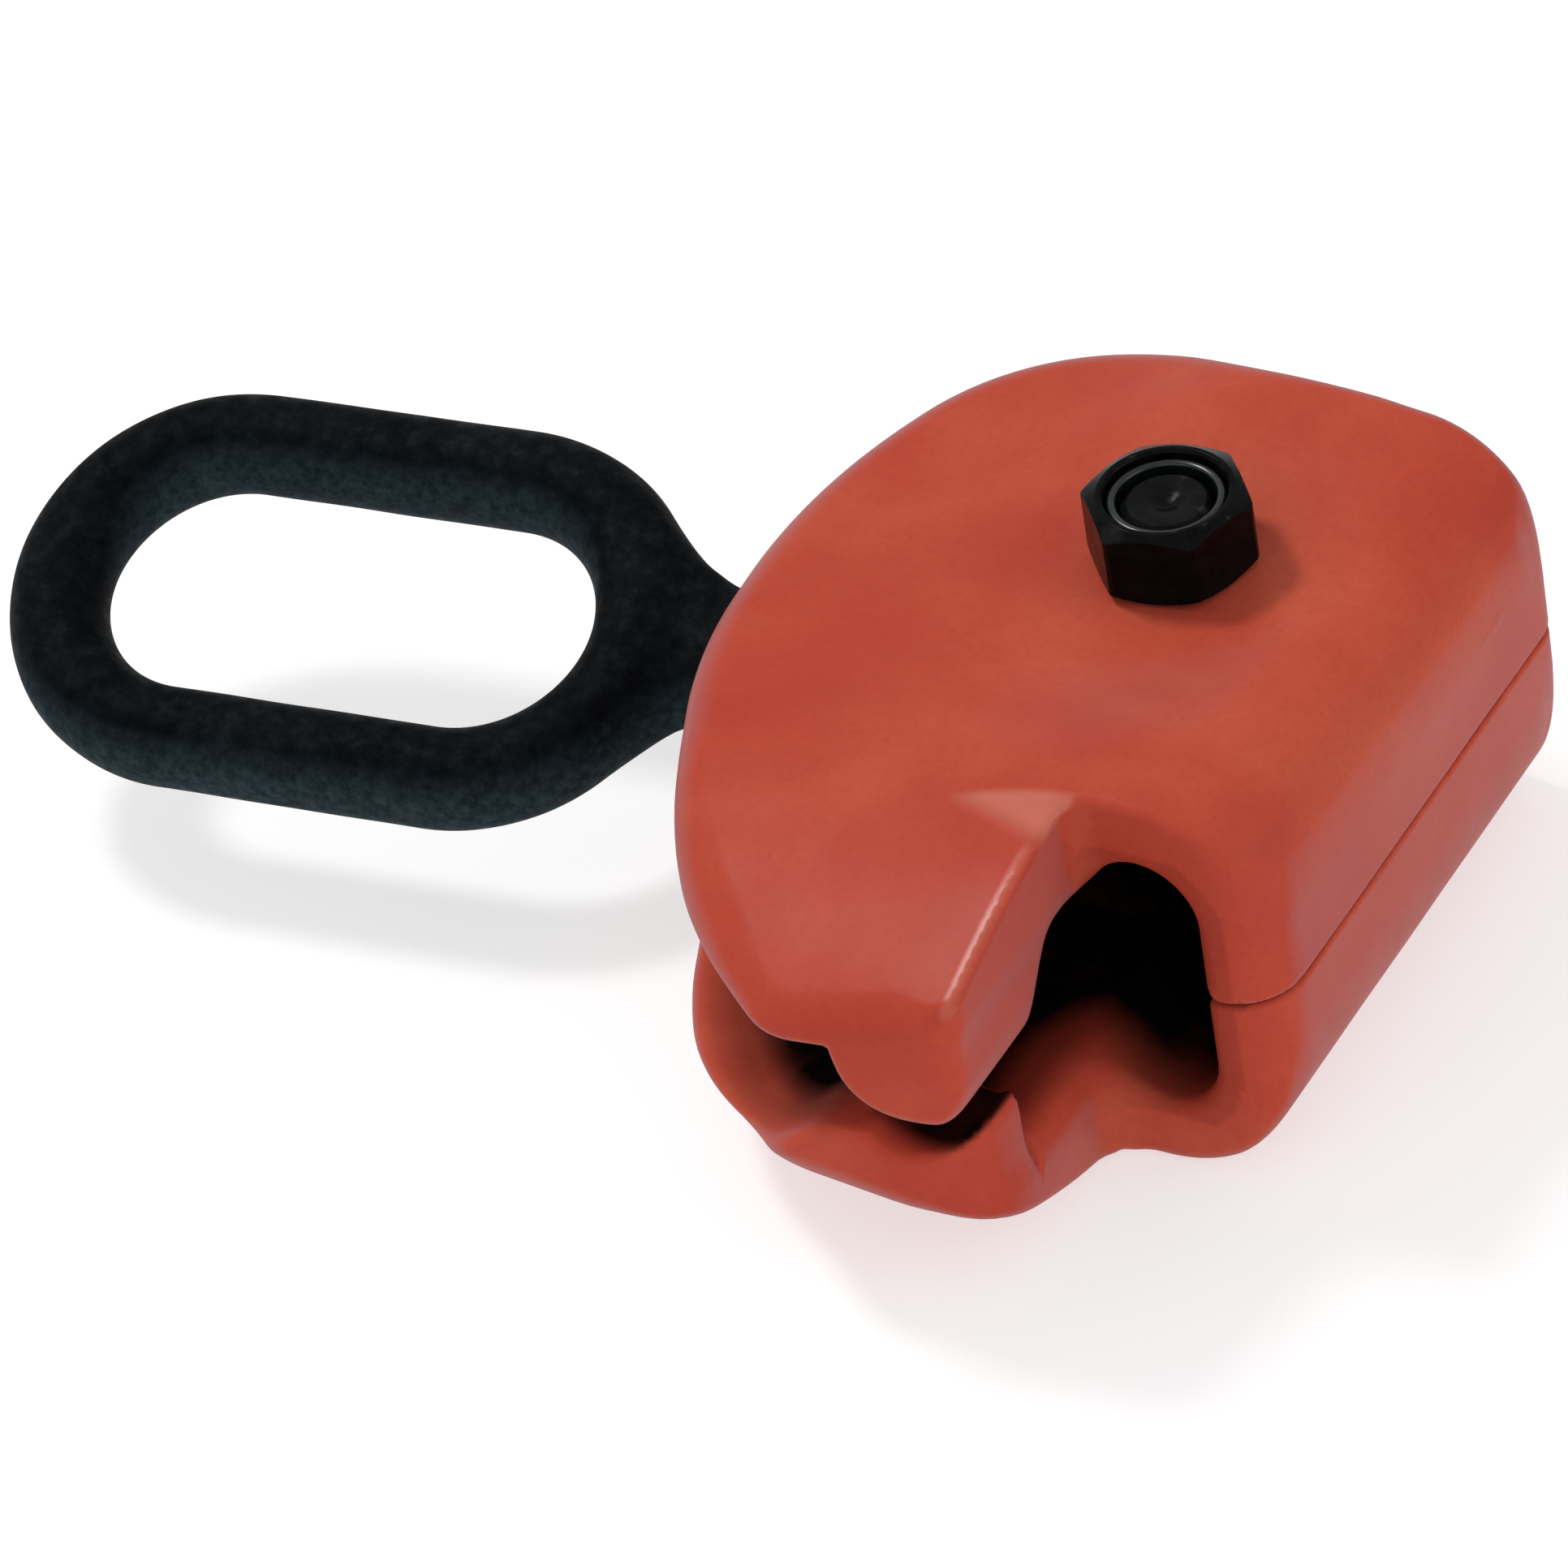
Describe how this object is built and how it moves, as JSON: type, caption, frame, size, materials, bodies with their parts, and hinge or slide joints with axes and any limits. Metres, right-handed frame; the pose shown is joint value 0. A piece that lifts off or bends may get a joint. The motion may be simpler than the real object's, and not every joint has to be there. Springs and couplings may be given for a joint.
{
  "type": "rope grab",
  "caption": "Cam-lever rope grab: two cast half shells around an open-ended rope channel, a forged lever with an oblong eye, and a through bolt with a lock nut.",
  "frame": {"origin": "centre of the outer face of the pivot bolt's head, which is on the lever's pivot axis", "axes": "+Z along the pivot bolt from its head to the lock nut, +Y along the rope, up in use, +X from the pivot towards the closed spine; the lever's eye is at -X"},
  "size_m": [0.192, 0.12, 0.0639],
  "materials": {
    "shell_paint": "orange-red satin enamel on an aluminium casting",
    "lever_black": "mottled matt black coating on a steel forging",
    "bolt_black": "black oxide, oiled",
    "nut_black": "black oxide, oiled",
    "nylon": "dark nylon",
    "bronze": "turned bronze",
    "washer_zinc": "zinc plated",
    "spring_steel": "bright spring wire",
    "pin_steel": "ground steel"
  },
  "bodies": {
    "body": {"upper_shell": "shell_paint", "lower_shell": "shell_paint", "pivot_bolt": "bolt_black", "lock_nut": "nut_black", "nut_insert": "nylon", "pivot_sleeve": "bronze", "thrust_washer_upper": "washer_zinc", "thrust_washer_lower": "washer_zinc", "return_spring": "spring_steel", "spring_pin": "pin_steel", "dowel_pin_near": "pin_steel", "dowel_pin_far": "pin_steel"},
    "cam_lever": {"cam_lever": "lever_black"}
  },
  "joints": [
    {"name": "cam_pivot", "type": "hinge", "parent": "body", "child": "cam_lever", "pos_m": [0, 0, 0.025], "axis": [0, 0, 1], "range_deg": [-30, 32], "stiffness_Nm_per_rad": 0.02, "springref_deg": 17.19, "deforming": ["return_spring"]}
  ]
}
